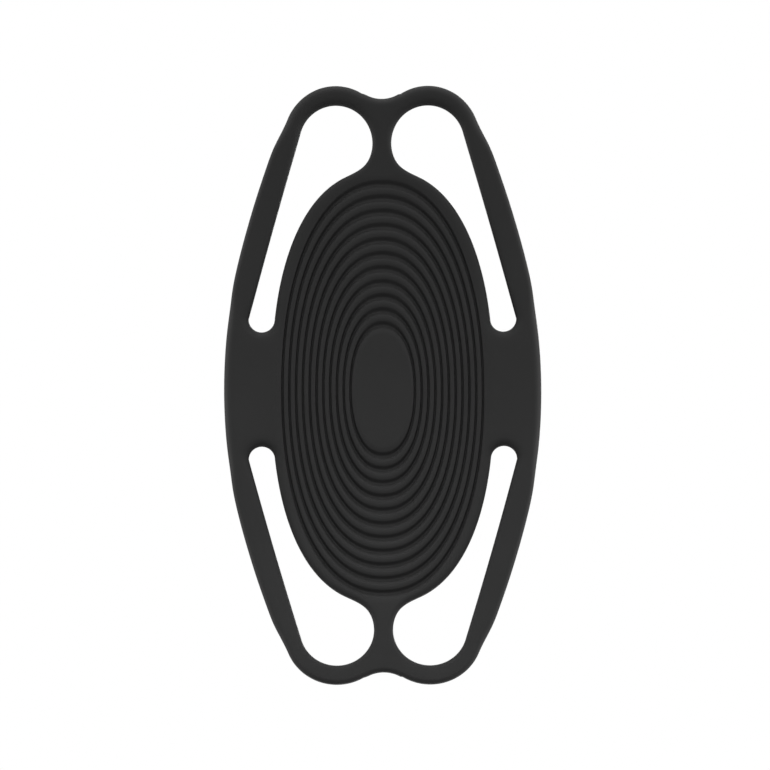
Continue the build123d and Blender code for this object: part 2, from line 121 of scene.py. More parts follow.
# Lip that holds the plate, in millimetres. Offsets are measured out from the plate's oval
PLATE = (18.998, 26.998)
LIP_RIM_OFFSET = 2.1  # end of the groove that the plate's rim sits in
LIP_RIM_DEPTH = 36.0
LIP_GAP = 0.1
LIP_CHAMFER = 0.15
LIP_INNER_ROUND = 0.3
LIP_BACK_DEPTH = 34.6
LIP_FACE = 3.0
LIP_OUTER_ROUND = 1.0
LIP_FILLET = 1.2
LIP_SUNK = 0.6  # how far its root reaches into the band
LIP_POINTS = 200

# Strap, in millimetres: y and z of its middle line, and distances along and across it
STRAP_HALF = 1.3  # half the thickness
STRAP_HALF_WIDTH = 9.0
STRAP_RADIUS = 17.3
PIN = (-12.463, -20.5)
LOW = (3.761, -16.886)  # where it meets the bar's curve
HIGH = (3.175, 17.006)  # where it leaves the curve
CURL = (-16.963, 20.765)  # where it turns up into the pull tab
CURL_RADIUS = 4.0
TIP_RUN = 7.0
STRAP_OVERRUN = 1.5  # how far it runs on past the pin's middle
STRAP_CORNER = 3.4
STRAP_EDGE_RADIUS = 0.75
WINDOW_ANGLES = (125.0, 152.0, 179.0)  # free windows, in degrees round the bar from the front
WINDOW_HALF_WIDTH = 4.6
WINDOW_HALF_LENGTH = 2.25
HOOKED_HALF_LENGTH = 2.3
HOOKED_Y = -13.013  # middle of the window that the hook holds
WINDOW_CORNER = 1.0
PIN_FLARE = (2.6, 3.4, 0.75)  # full up to here, gone after this length, extra thickness as a share
GRIP_PITCH = 1.74
GRIP_HEIGHT = 0.3  # share of the strap's thickness
GRIP_START = 0.6
GRIP_END = 0.7
GRIP_MARGIN = 1.2

# Liner, in millimetres and degrees
LINER_RADIUS = 16.8  # middle of its thickness
LINER_HALF = 0.8
LINER_HALF_WIDTH = 12.0
LINER_SPAN = 62.0
LINER_CORNER = 1.2
LINER_EDGE_RADIUS = 0.35
LINER_HOLE = 4.3
LINER_GROOVES = 5
LINER_GROOVE_RADIUS = 0.5
LINER_SKIN = 0.3  # the grooves fade in below this height

WIRE_RADIUS = 0.2
SPRING_TURNS = 6.5
BROKEN_EDGES = (("base_housing", 0.35), ("turntable", 0.3), ("insert_plate", 0.3), ("strap_hook", 0.15))

# Studio, in metres, watts and degrees
LAMPS = (
    ("key", (0.0, -1.22, 0.92), 0.9, 15),
    ("top", (0.0, -0.1, 1.3), 0.6, 11),
    ("rear", (0.5, 1.35, 0.6), 0.8, 14),
    ("left", (-1.3, 0.05, 0.1), 0.9, 13),
    ("right", (1.3, 0.05, 0.1), 0.9, 17),
)
LAMP_AIM = (0, -0.02, 0)
WORLD_FILL = 0.3
WORLD_SEEN = 1.0
FLOOR_SIZE = 10
FLOOR_HEIGHT = -0.65
FLOOR_GREY = 0.35
FLOOR_SEEN = 0.88
CAMERA_ELEVATION = -8
CAMERA_DISTANCE = 1.5
CAMERA_AIM = (0.0005, -0.0412, 0.0007)
CAMERA_ROLL = -0.2
SENSOR_WIDTH = 36
VIEW_WIDTH = 0.1665  # what the camera takes in across, at the pad


# ---------------------------------------------------------------- outlines
def spline_points(points, start_slope, end_slope, step):
    """Points along a smooth curve through the given ones, with set directions at its ends."""
    p = np.array(points, float)
    chord = np.hypot(*np.diff(p, axis=0).T)
    t = np.concatenate([[0], np.cumsum(chord)])
    count = len(p)
    system = np.zeros((count, count))
    right = np.zeros((count, 2))
    system[0, 0] = system[-1, -1] = 1
    right[0] = np.array(start_slope) / np.hypot(*start_slope)
    right[-1] = np.array(end_slope) / np.hypot(*end_slope)
    for i in range(1, count - 1):
        before, after = chord[i - 1], chord[i]
        system[i, i - 1 : i + 2] = (1 / before, 2 / before + 2 / after, 1 / after)
        right[i] = 3 * ((p[i] - p[i - 1]) / before**2 + (p[i + 1] - p[i]) / after**2)
    slope = np.linalg.solve(system, right)
    places = np.linspace(0, t[-1], max(2, round(t[-1] / step)) + 1)
    found = []
    for place in places:
        i = min(int(np.searchsorted(t, place, side="right")) - 1, count - 2)
        h = chord[i]
        s = (place - t[i]) / h
        found.append(
            (2 * s**3 - 3 * s**2 + 1) * p[i]
            + (s**3 - 2 * s**2 + s) * h * slope[i]
            + (3 * s**2 - 2 * s**3) * p[i + 1]
            + (s**3 - s**2) * h * slope[i + 1]
        )
    return np.array(found)


def arc_points(centre, radius, start, end, step):
    """Points along an arc from one angle to another, in degrees."""
    turn = math.radians(end - start)
    count = max(2, round(abs(turn) * radius / step))
    angles = math.radians(start) + np.linspace(0, turn, count + 1)
    return np.array(centre) + radius * np.stack([np.cos(angles), np.sin(angles)], 1)


def angle_of(point, centre):
    """Direction from a centre to a point, in degrees."""
    return math.degrees(math.atan2(point[1] - centre[1], point[0] - centre[0]))


def three_point_arc(a, b, c, step):
    """Points along the arc through three points."""
    ax, ay = a
    bx, by = b
    cx, cy = c
    aa, bb, cc = ax**2 + ay**2, bx**2 + by**2, cx**2 + cy**2
    twice_area = 2 * (ax * (by - cy) + bx * (cy - ay) + cx * (ay - by))
    ux = (aa * (by - cy) + bb * (cy - ay) + cc * (ay - by)) / twice_area
    uy = (aa * (cx - bx) + bb * (ax - cx) + cc * (bx - ax)) / twice_area
    centre = (ux, uy)
    start = angle_of(a, centre)
    turn = (angle_of(c, centre) - start) % 360
    if (angle_of(b, centre) - start) % 360 > turn:
        turn -= 360
    return arc_points(centre, math.hypot(ax - ux, ay - uy), start, start + turn, step)


def superellipse(half_width, half_height, power, angles):
    """Points on an oval whose corners fill out as its power grows past 2."""
    c = np.cos(angles)
    s = np.sin(angles)
    scale = (np.abs(c) ** power + np.abs(s) ** power) ** (-1 / power)
    return np.stack([half_width * c * scale, half_height * s * scale], 1)


def joined(*stretches):
    """One closed loop from stretches that start where the last one ended."""
    return np.concatenate([stretch[:-1] for stretch in stretches])


def flipped(points, x=1, z=1):
    """The points mirrored left to right with x=-1, or top to bottom with z=-1."""
    return points * np.array([x, z])


def even(loop, step):
    """The same closed loop with evenly spaced points."""
    closed = np.concatenate([loop, loop[:1]])
    reach = np.concatenate([[0], np.cumsum(np.hypot(*np.diff(closed, axis=0).T))])
    places = np.linspace(0, reach[-1], round(reach[-1] / step), endpoint=False)
    return np.stack([np.interp(places, reach, closed[:, i]) for i in (0, 1)], 1)


def band_loop():
    """The outer edge of the band, anticlockwise from the right-hand wing."""
    flank = spline_points(FLANK, (0, 1), FLANK_END_SLOPE, OUTLINE_STEP)
    rise = NOTCH_CENTRE - LOBE[1]
    share = LOBE_RADIUS / math.hypot(LOBE[0], rise)
    join = (LOBE[0] * (1 - share), LOBE[1] + rise * share)
    notch_middle = (0, NOTCH_CENTRE)
    lobe = arc_points(LOBE, LOBE_RADIUS, angle_of(FLANK[-1], LOBE), angle_of(join, LOBE), OUTLINE_STEP)
    notch = arc_points(notch_middle, NOTCH_RADIUS, angle_of(join, notch_middle), -90, OUTLINE_STEP)
    quarter = np.concatenate([flank, lobe[1:], notch[1:]])
    upper = np.concatenate([quarter, flipped(quarter, x=-1)[::-1][1:]])
    lower = flipped(upper, z=-1)[::-1][1:-1]
    return even(np.concatenate([upper, lower]), BAND_EDGE_STEP)


def slot_loop():
    """The upper right slot, clockwise, so that the band lies on its left."""
    fine = OUTLINE_STEP
    head_x, head_z = SLOT_HEAD
    pad_edge = superellipse(*PAD, np.radians(np.linspace(*PAD_EDGE_SPAN, 60)))
    low = pad_edge[-1]
    slope = pad_edge[1] - pad_edge[0]
    side_low = (SLOT_SIDE_LOW, low[1])
    side_middle = (SLOT_SIDE_BULGE, (low[1] + head_z) / 2)
    side_high = (head_x + SLOT_HEAD_RADIUS + SLOT_SIDE_TOP[0], head_z + SLOT_SIDE_TOP[1])
    head_top = (head_x, head_z + SLOT_HEAD_RADIUS)
    neck = (head_x - SLOT_HEAD_RADIUS, head_z)
    end_middle = ((low[0] + side_low[0]) / 2, low[1] - (side_low[0] - low[0]) / 2)
    end = three_point_arc(side_low, end_middle, tuple(low), fine)
    neck_side = spline_points([tuple(pad_edge[0]), NECK_FOOT, neck], -slope, (0, 1), fine)
    head = three_point_arc(neck, head_top, side_high, fine)
    side = three_point_arc(side_high, side_middle, side_low, fine)
    return even(joined(end, pad_edge[::-1], neck_side, head, side), SLOT_EDGE_STEP)


# ---------------------------------------------------------------- flat sheets with rounded edges
def left_normals(loop):
    """Unit directions to the left of a closed loop, in the plane."""
    along = np.roll(loop, -1, 0) - np.roll(loop, 1, 0)
    along /= np.hypot(*along.T)[:, None]
    return np.stack([-along[:, 1], along[:, 0]], 1)


def inside(points, loop):
    """Which points lie inside a closed loop."""
    x, y = points[:, 0][:, None], points[:, 1][:, None]
    ax, ay = loop[:, 0], loop[:, 1]
    bx, by = np.roll(ax, -1), np.roll(ay, -1)
    crosses = (ay > y) != (by > y)
    with np.errstate(divide="ignore", invalid="ignore"):
        at = ax + (y - ay) * (bx - ax) / (by - ay)
    return (np.sum(crosses & (x < at), 1) % 2) == 1


def fill(loops, spacing):
    """Triangles between an outer loop and the loops of its holes, with filler points between them."""
    low, high = loops[0].min(0), loops[0].max(0)
    across = np.arange(low[0], high[0], spacing)
    rows = np.arange(low[1], high[1], spacing * 0.87)
    grid = np.array([(x + spacing / 2 * (i % 2), y) for i, y in enumerate(rows) for x in across])
    keep = inside(grid, loops[0])
    for loop in loops[1:]:
        keep &= ~inside(grid, loop)
    edges_at = np.concatenate(loops)
    grid = grid[keep]
    near = np.array([np.min(np.sum((edges_at - p) ** 2, 1)) for p in grid])
    grid = grid[near > (0.6 * spacing) ** 2]
    points = np.concatenate(loops + [grid])
    edges = []
    start = 0
    for loop in loops:
        count = len(loop)
        edges += [(start + i, start + (i + 1) % count) for i in range(count)]
        start += count
    result = delaunay_2d_cdt([Vector(p) for p in points], edges, [], 0, 1e-7)
    if len(result[0]) != len(points):
        raise ValueError("two loops of a sheet touch")
    order = np.array([ids[0] for ids in result[3]])
    faces = order[np.array(result[2])]
    centres = points[faces].mean(1)
    keep = inside(centres, loops[0])
    for loop in loops[1:]:
        keep &= ~inside(centres, loop)
    return grid, faces[keep]


class Sheet:
    """A flat sheet with rounded edges, as points (across, along, height) and faces."""

    def __init__(self, half):
        self.half = half
        self.points = []
        self.faces = []

    def add(self, flat, height):
        """Adds points at a height, and gives their numbers."""
        start = len(self.points)
        heights = np.broadcast_to(height, len(flat))
        self.points += [(p[0], p[1], h) for p, h in zip(flat, heights)]
        return list(range(start, len(self.points)))

    def strip(self, first, second):
        """Quads between two closed rings of the same length."""
        count = len(first)
        for i in range(count):
            j = (i + 1) % count
            self.faces.append((first[i], first[j], second[j], second[i]))

    def surface(self, rings, side, spacing, holes=()):
        """Fills what lies between the innermost rings, on the front (1) or the back (-1)."""
        loops = [flat for flat, _ in rings] + [flat for flat, _ in holes]
        ids = [i for _, ring in list(rings) + list(holes) for i in ring]
        grid, faces = fill(loops, spacing)
        ids = ids + self.add(grid, side * self.half)
        for a, b, c in faces:
            self.faces.append((ids[a], ids[b], ids[c])[::side])


def same_radius(radius):
    """An edge radius that is the same all the way round."""
    return lambda loop: np.full(len(loop), radius)


def rounded_sheet(loops, radius_at, half, spacing, steps=6, holes=()):
    """A sheet of constant thickness, with every edge rounded by its own radius.

    The first loop is the outline and the others are holes right through. Each of holes makes its own
    part of the front, and gives the ring that the rest of the front starts from.
    """
    sheet = Sheet(half)
    inner = {1: [], -1: []}
    for loop in loops:
        normals = left_normals(loop)
        radius = np.minimum(radius_at(loop), half)
        edge = {}
        for side in (1, -1):
            last = None
            for k in range(steps + 1):
                turn = math.pi / 2 * k / steps
                flat = loop + normals * (radius * (1 - math.cos(turn)))[:, None]
                ring = sheet.add(flat, side * (half - radius * (1 - math.sin(turn))))
                if last is None:
                    edge[side] = ring
                elif side == 1:
                    sheet.strip(last, ring)
                else:
                    sheet.strip(ring, last)
                last = ring
            inner[side].append((flat, last))
        sheet.strip(edge[-1], edge[1])
    sheet.surface(inner[1], 1, spacing, [hole(sheet) for hole in holes])
    sheet.surface(inner[-1], -1, spacing)
    return sheet


def sheet_object(name, sheet, place):
    """The sheet bent into its real place, as a smooth closed mesh."""
    return closed_mesh(name, [place(*p) for p in sheet.points], sheet.faces)


def only(piece):
    """Selects one piece and nothing else."""
    if bpy.context.object and bpy.context.object.mode != "OBJECT":
        bpy.ops.object.mode_set(mode="OBJECT")
    bpy.ops.object.select_all(action="DESELECT")
    piece.select_set(True)
    bpy.context.view_layer.objects.active = piece


# ---------------------------------------------------------------- phone band
def dished(x, z, height):
    """From the flat band to the bowed one. Height is towards the phone."""
    depth = BAND_MIDDLE_DEPTH + DISH_MIDDLE - math.sqrt((DISH_MIDDLE - height) ** 2 - z * z)
    return (x * MM, -depth * MM, z * MM)


def band_edge_radius(loop):
    """Fully rounded upper loops and wings, with flatter strands and flatter lower loops."""
    z = np.abs(loop[:, 1])
    strand = np.clip((z - 14) / 8, 0, 1) * np.clip((58 - z) / 8, 0, 1)
    strand = strand * strand * (3 - 2 * strand)
    lower = np.clip((-loop[:, 1] - 50) / 8, 0, 1)
    return BAND_HALF - np.maximum(0.65 * strand, 0.8 * lower)


def groove_profile(share):
    """Depth of a groove across its width, from -1 to 1: a round bottom between rounded lips."""
    return (1 - share * share) ** 1.5


def ribbed_pad(sheet):
    """The ring grooves round the plain oval, out to the ring that the rest of the band starts from."""
    count = GROOVE_POINTS
    angles = np.linspace(0, 2 * math.pi, count, endpoint=False)
    rings = [(part * GROOVE_FIRST, 0.0) for part in PLAIN_OVAL_RINGS]
    half = GROOVE_HALF_SIDE + (GROOVE_HALF_TOP - GROOVE_HALF_SIDE) * np.sin(angles) ** 2
    for k in range(GROOVE_COUNT):
        for share in GROOVE_SHARES:
            size = GROOVE_FIRST + GROOVE_PITCH * (k + half * share)
            rings.append((size, -GROOVE_DEPTH * groove_profile(share)))
    middle = sheet.add(np.array([(0, -GROOVE_DROP)]), sheet.half)[0]
    last = None
    for size, drop in rings:
        flat = superellipse(size, size * GROOVE_ASPECT, GROOVE_POWER, angles) - (0, GROOVE_DROP)
        ring = sheet.add(flat, sheet.half + drop)
        if last is None:
            for i in range(count):
                sheet.faces.append((middle, ring[i], ring[(i + 1) % count]))
        else:
            sheet.strip(last, ring)
        last = ring
    return flat, last


def band_back_depth(z):
    """Depth of the bowed band's back, at a height."""
    radius = DISH_MIDDLE + BAND_HALF
    return BAND_MIDDLE_DEPTH + DISH_MIDDLE - math.sqrt(radius * radius - z * z)


def lip_profile():
    """Section of the lip, as offset, depth, and for points on the band's back the depth beyond it."""
    profile = [
        (LIP_RIM_OFFSET, None, LIP_SUNK),
        (LIP_RIM_OFFSET, LIP_RIM_DEPTH, 0),
        (LIP_GAP + LIP_CHAMFER, LIP_RIM_DEPTH, 0),
        (LIP_GAP, LIP_RIM_DEPTH - LIP_CHAMFER, 0),
    ]
    for turn in np.radians(np.linspace(0, 90, 5)):
        offset = LIP_GAP + LIP_INNER_ROUND * (1 - math.cos(turn))
        profile.append((offset, LIP_BACK_DEPTH + LIP_INNER_ROUND * (1 - math.sin(turn)), 0))
    for turn in np.radians(np.linspace(0, 90, 7)):
        offset = LIP_FACE + LIP_OUTER_ROUND * math.sin(turn)
        profile.append((offset, LIP_BACK_DEPTH + LIP_OUTER_ROUND * (1 - math.cos(turn)), 0))
    edge = LIP_FACE + LIP_OUTER_ROUND + LIP_FILLET
    for turn in np.radians(np.linspace(0, 90, 5)):
        profile.append((edge - LIP_FILLET * math.cos(turn), None, -LIP_FILLET * (1 - math.sin(turn))))
    profile.append((edge, None, LIP_SUNK))
    return profile


def make_plate_lip():
    """The lip on the band's back that holds the plate, swept round the plate's oval."""
    profile = lip_profile()
    count = LIP_POINTS
    angles = np.linspace(0, 2 * math.pi, count, endpoint=False)
    points = []
    for offset, depth, beyond in profile:
        for angle in angles:
            x = (PLATE[0] + offset) * math.cos(angle)
            z = (PLATE[1] + offset) * math.sin(angle)
            deep = band_back_depth(z) + beyond if depth is None else depth
            points.append((x * MM, -deep * MM, z * MM))
    faces = []
    for r in range(len(profile)):
        here, following = r * count, (r + 1) % len(profile) * count
        for i in range(count):
            j = (i + 1) % count
            faces.append((here + i, here + j, following + j, following + i))
    return closed_mesh("plate_lip", points, faces)


def closed_mesh(name, points, faces):
    """A smooth closed mesh, with its doubled points merged and its faces turned outwards."""
    mesh = bpy.data.meshes.new(name)
    mesh.from_pydata(points, [], faces)
    piece = bpy.data.objects.new(name, mesh)
    bpy.context.scene.collection.objects.link(piece)
    only(piece)
    bpy.ops.object.mode_set(mode="EDIT")
    bpy.ops.mesh.select_all(action="SELECT")
    bpy.ops.mesh.remove_doubles(threshold=0.004 * MM)
    bpy.ops.mesh.normals_make_consistent(inside=False)
    bpy.ops.object.mode_set(mode="OBJECT")
    bpy.ops.object.shade_smooth()
    return piece


def make_band():
    """The whole silicone band: pad, necks, wings, loops and the lip on its back."""
    slot = slot_loop()
    slots = [slot, flipped(slot, x=-1)[::-1], flipped(slot, z=-1)[::-1], flipped(slot, x=-1, z=-1)]
    loops = [band_loop()] + slots
    sheet = rounded_sheet(loops, band_edge_radius, BAND_HALF, BAND_FILL_STEP, holes=[ribbed_pad])
    band = sheet_object("phone_band_skin", sheet, dished)
    band = joined_pieces(band, [make_plate_lip()])
    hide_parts("phone_band")
    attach(band, "carrier")
    return band


# ---------------------------------------------------------------- strap and liner
def strap_route():
    """The strap's middle line, as stretches of straight runs and arcs in y and z.

    A run is its start, length and heading. An arc is its centre, length, and its first arm with a turn
    of 1 or -1.
    """
    pin, low, high, curl = Vector(PIN), Vector(LOW), Vector(HIGH), Vector(CURL)
    run = (curl - high).normalized()
    side = Vector((run.y, -run.x))
    if side.y < 0:
        side = -side
    centre = curl + side * CURL_RADIUS
    sweep = math.radians(90) - math.atan2(run.y, -run.x)
    around = (math.atan2(high.y, high.x) - math.atan2(low.y, low.x)) % (2 * math.pi)
    return [
        ("line", pin, (low - pin).length, (low - pin).normalized()),
        ("arc", Vector((0, 0)), around * STRAP_RADIUS, (low, 1)),
        ("line", high, (curl - high).length, run),
        ("arc", centre, sweep * CURL_RADIUS, (curl - centre, -1)),
        ("line", centre + Vector((-CURL_RADIUS, 0)), TIP_RUN, Vector((0, 1))),
    ]


def along_route(route, s):
    """Place and heading at a distance along the strap. The last stretch runs on without an end."""
    for kind, start, length, way in route[:-1]:
        if s <= length:
            if kind == "line":
                return start + way * s, way
            arm, turn = way
            angle = turn * s / arm.length
            c, d = math.cos(angle), math.sin(angle)
            out = Vector((c * arm.x - d * arm.y, d * arm.x + c * arm.y))
            return start + out, Vector((-out.y, out.x)).normalized() * turn
        s -= length
    _, start, _, way = route[-1]
    return start + way * s, way


def route_place(route, thickness_at):
    """A map from the flat strap to its route. Height is towards the outside of the loop."""

    def place(x, s, height):
        spot, way = along_route(route, max(s, 0))
        if s < 0:
            spot = spot + way * s
        outward = Vector((way.y, -way.x))
        spot = spot + outward * height * thickness_at(x, s)
        return (x * MM, spot.x * MM, spot.y * MM)

    return place


def rounded_rectangle(x0, x1, s0, s1, radius):
    """A closed loop of straight sides and round corners, anticlockwise."""
    step = 0.45
    corners = ((x1, s0, -90), (x1, s1, 0), (x0, s1, 90), (x0, s0, 180))
    arcs = []
    for x, s, start in corners:
        cx = x - radius if x == x1 else x + radius
        cs = s - radius if s == s1 else s + radius
        arcs.append(arc_points((cx, cs), radius, start, start + 90, step / 3))
    return even(np.concatenate(arcs), step)


def strap_windows(route):
    """The free windows round the bar, and the one that the hook holds."""
    lead, around = route[0][2], route[1][2]
    low_angle = math.atan2(LOW[1], LOW[0])
    windows = []
    for front_angle in WINDOW_ANGLES:
        angle = math.radians(180 - front_angle)
        windows.append((lead + (angle - low_angle) * STRAP_RADIUS, WINDOW_HALF_LENGTH))
    run = route[2][3]
    windows.append((lead + around + (HIGH[0] - HOOKED_Y) / -run.x, HOOKED_HALF_LENGTH))
    wide = WINDOW_HALF_WIDTH
    return [
        rounded_rectangle(-wide, wide, middle - half, middle + half, WINDOW_CORNER)[::-1]
        for middle, half in windows
    ]


def make_strap():
    """The whole strap in one piece, thicker at the pin and ribbed at its pull tab.

    It has no bored eye: its thick end runs straight through the pin.
    """
    route = strap_route()
    total = sum(stretch[2] for stretch in route)
    grip_start = total - TIP_RUN + GRIP_START
    grip_half = STRAP_HALF_WIDTH - GRIP_MARGIN
    flare_start, flare_length, flare_share = PIN_FLARE

    def thickness_at(x, s):
        flare = max(0.0, 1 - max(s - flare_start, 0) / flare_length)
        rib = 0.0
        if s > grip_start and abs(x) < grip_half:
            wave = 0.5 - 0.5 * math.cos(2 * math.pi * (s - grip_start) / GRIP_PITCH)
            fade = min(1, (total - GRIP_END - s) / 0.6, (grip_half - abs(x)) / 0.8)
            rib = GRIP_HEIGHT * wave * max(fade, 0)
        return 1 + flare_share * flare * flare + rib

    wide = STRAP_HALF_WIDTH
    loops = [rounded_rectangle(-wide, wide, -STRAP_OVERRUN, total, STRAP_CORNER)] + strap_windows(route)
    sheet = rounded_sheet(loops, same_radius(STRAP_EDGE_RADIUS), STRAP_HALF, 0.5, steps=4)
    strap = sheet_object("strap_skin", sheet, route_place(route, thickness_at))
    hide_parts("strap_wrap", "strap_tab")
    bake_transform(strap)
    return strap


def joined_pieces(piece, others):
    """One piece from several closed ones that all sit at the origin."""
    whole = bmesh.new()
    whole.from_mesh(piece.data)
    for other in others:
        whole.from_mesh(other.data)
        bpy.data.objects.remove(other)
    whole.to_mesh(piece.data)
    whole.free()
    only(piece)
    bpy.ops.object.shade_smooth()
    return piece


def make_liner():
    """The soft liner, bent round the bar, with its grip grooves and softly rounded edges."""
    reach = math.radians(LINER_SPAN) * LINER_RADIUS - 0.02
    outline = rounded_rectangle(-LINER_HALF_WIDTH, LINER_HALF_WIDTH, -reach, reach, LINER_CORNER)
    hole = arc_points((0, 0), LINER_HOLE, 0, -360, 0.45)[:-1]
    spread = math.radians(2 * LINER_SPAN / (LINER_GROOVES + 1))

    def place(x, s, height):
        angle = s / LINER_RADIUS
        radius = LINER_RADIUS + height
        if height < -LINER_SKIN:
            depth = min(1, (-height - LINER_SKIN) / 0.4)
            for i in range(LINER_GROOVES):
                offset = (angle - (i - LINER_GROOVES // 2) * spread) * LINER_RADIUS
                if abs(offset) < LINER_GROOVE_RADIUS:
                    radius += math.sqrt(LINER_GROOVE_RADIUS**2 - offset * offset) * depth
        return (x * MM, -radius * math.cos(angle) * MM, radius * math.sin(angle) * MM)

    sheet = rounded_sheet([outline, hole], same_radius(LINER_EDGE_RADIUS), LINER_HALF, 0.42, steps=3)
    liner = sheet_object("saddle_liner", sheet, place)
    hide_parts("saddle_pad")
    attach(liner, "base")
    return liner


def rounded_copy(name, width):
    """A copy of a hard part with its sharp edges broken."""
    source = frame["nodes"][name]
    piece = bpy.data.objects.new(name + "_rounded", source.data.copy())
    bpy.context.scene.collection.objects.link(piece)
    only(piece)
    bpy.ops.object.mode_set(mode="EDIT")
    bpy.ops.mesh.select_all(action="SELECT")
    bpy.ops.mesh.remove_doubles(threshold=0.002 * MM)
    bpy.ops.mesh.dissolve_limited(angle_limit=math.radians(1))
    bpy.ops.object.mode_set(mode="OBJECT")
    bevel = piece.modifiers.new("edges", "BEVEL")
    bevel.width = width * MM
    bevel.segments = 2
    bevel.limit_method = "ANGLE"
    bevel.angle_limit = math.radians(30)
    bevel.use_clamp_overlap = True
    bpy.ops.object.modifier_apply(modifier="edges")
    bpy.ops.object.shade_smooth_by_angle(angle=math.radians(40))
    return piece


# ---------------------------------------------------------------- shared effects
def node(tree, kind, **values):
    """A new node with its settings."""
    made = tree.nodes.new(kind)
    for key, value in values.items():
        setattr(made, key, value)
    return made


def group_tree(name, inputs, outputs):
    """An empty effect with named inputs and outputs. Each input is a name, a kind and a value."""
    tree = bpy.data.node_groups.new(name, "ShaderNodeTree")
    for label, kind, value in inputs:
        socket = tree.interface.new_socket(label, in_out="INPUT", socket_type=kind)
        if value is not None:
            socket.default_value = value
    for label, kind in outputs:
        tree.interface.new_socket(label, in_out="OUTPUT", socket_type=kind)
    return tree, node(tree, "NodeGroupInput"), node(tree, "NodeGroupOutput")


def noise_in(tree, source, scale, detail):
    """Noise in an effect. Its scale is a number, or the name of the input that gives it."""
    texture = node(tree, "ShaderNodeTexNoise")
    texture.inputs["Detail"].default_value = detail
    tree.links.new(source.outputs["Vector"], texture.inputs["Vector"])
    if isinstance(scale, str):
        tree.links.new(source.outputs[scale], texture.inputs["Scale"])
    else:
        texture.inputs["Scale"].default_value = scale
    return texture


def make_mould_grain():
    """The fine skin that a spark-eroded mould leaves, with a slow waviness under it."""
    tree, source, result = group_tree(
        "mould_grain",
        [
            ("Vector", "NodeSocketVector", None),
            ("Grain Scale", "NodeSocketFloat", 6000.0),
            ("Wave Scale", "NodeSocketFloat", 300.0),
            ("Wave Share", "NodeSocketFloat", 0.3),
        ],
        [("Height", "NodeSocketFloat")],
    )
    fine = noise_in(tree, source, "Grain Scale", 2.0)
    wave = noise_in(tree, source, "Wave Scale", 1.0)
    mix = node(tree, "ShaderNodeMix", data_type="FLOAT")
    tree.links.new(source.outputs["Wave Share"], mix.inputs["Factor"])
    tree.links.new(fine.outputs["Fac"], mix.inputs["A"])
    tree.links.new(wave.outputs["Fac"], mix.inputs["B"])
    tree.links.new(mix.outputs["Result"], result.inputs["Height"])
    return tree


def make_patchy():
    """A value that drifts between two limits over the surface."""
    tree, source, result = group_tree(
        "patchy_value",
        [
            ("Vector", "NodeSocketVector", None),
            ("Scale", "NodeSocketFloat", 60.0),
            ("Low", "NodeSocketFloat", 0.5),
            ("High", "NodeSocketFloat", 0.6),
        ],
        [("Value", "NodeSocketFloat")],
    )
    cloud = noise_in(tree, source, "Scale", 4.0)
    spread = node(tree, "ShaderNodeMapRange")
    spread.inputs["From Min"].default_value = 0.3
    spread.inputs["From Max"].default_value = 0.7
    tree.links.new(cloud.outputs["Fac"], spread.inputs["Value"])
    tree.links.new(source.outputs["Low"], spread.inputs["To Min"])
    tree.links.new(source.outputs["High"], spread.inputs["To Max"])
    tree.links.new(spread.outputs["Result"], result.inputs["Value"])
    return tree


def make_handled():
    """A colour that drifts slightly, with settled lint on upward faces."""
    tree, source, result = group_tree(
        "handled_colour",
        [
            ("Vector", "NodeSocketVector", None),
            ("Base", "NodeSocketColor", (0.03, 0.03, 0.03, 1)),
            ("Drift", "NodeSocketColor", (0.035, 0.035, 0.035, 1)),
            ("Lint", "NodeSocketColor", (0.2, 0.2, 0.2, 1)),
            ("Lint Amount", "NodeSocketFloat", 0.02),
        ],
        [("Color", "NodeSocketColor")],
    )
    drift = noise_in(tree, source, 45.0, 3.0)
    tone = node(tree, "ShaderNodeMix", data_type="RGBA")
    tree.links.new(drift.outputs["Fac"], tone.inputs["Factor"])
    tree.links.new(source.outputs["Base"], tone.inputs["A"])
    tree.links.new(source.outputs["Drift"], tone.inputs["B"])
    geometry = node(tree, "ShaderNodeNewGeometry")
    parts = node(tree, "ShaderNodeSeparateXYZ")
    tree.links.new(geometry.outputs["Normal"], parts.inputs["Vector"])
    upward = node(tree, "ShaderNodeMapRange")
    upward.inputs["From Min"].default_value = 0.1
    tree.links.new(parts.outputs["Z"], upward.inputs["Value"])
    specks = noise_in(tree, source, 1400.0, 2.0)
    sparse = node(tree, "ShaderNodeMapRange")
    sparse.inputs["From Min"].default_value = 0.55
    sparse.inputs["From Max"].default_value = 0.7
    tree.links.new(specks.outputs["Fac"], sparse.inputs["Value"])
    lint = node(tree, "ShaderNodeMath", operation="MULTIPLY")
    tree.links.new(upward.outputs["Result"], lint.inputs[0])
    tree.links.new(sparse.outputs["Result"], lint.inputs[1])
    amount = node(tree, "ShaderNodeMath", operation="MULTIPLY")
    tree.links.new(lint.outputs["Value"], amount.inputs[0])
    tree.links.new(source.outputs["Lint Amount"], amount.inputs[1])
    dusted = node(tree, "ShaderNodeMix", data_type="RGBA")
    tree.links.new(amount.outputs["Value"], dusted.inputs["Factor"])
    tree.links.new(tone.outputs["Result"], dusted.inputs["A"])
    tree.links.new(source.outputs["Lint"], dusted.inputs["B"])
    tree.links.new(dusted.outputs["Result"], result.inputs["Color"])
    return tree


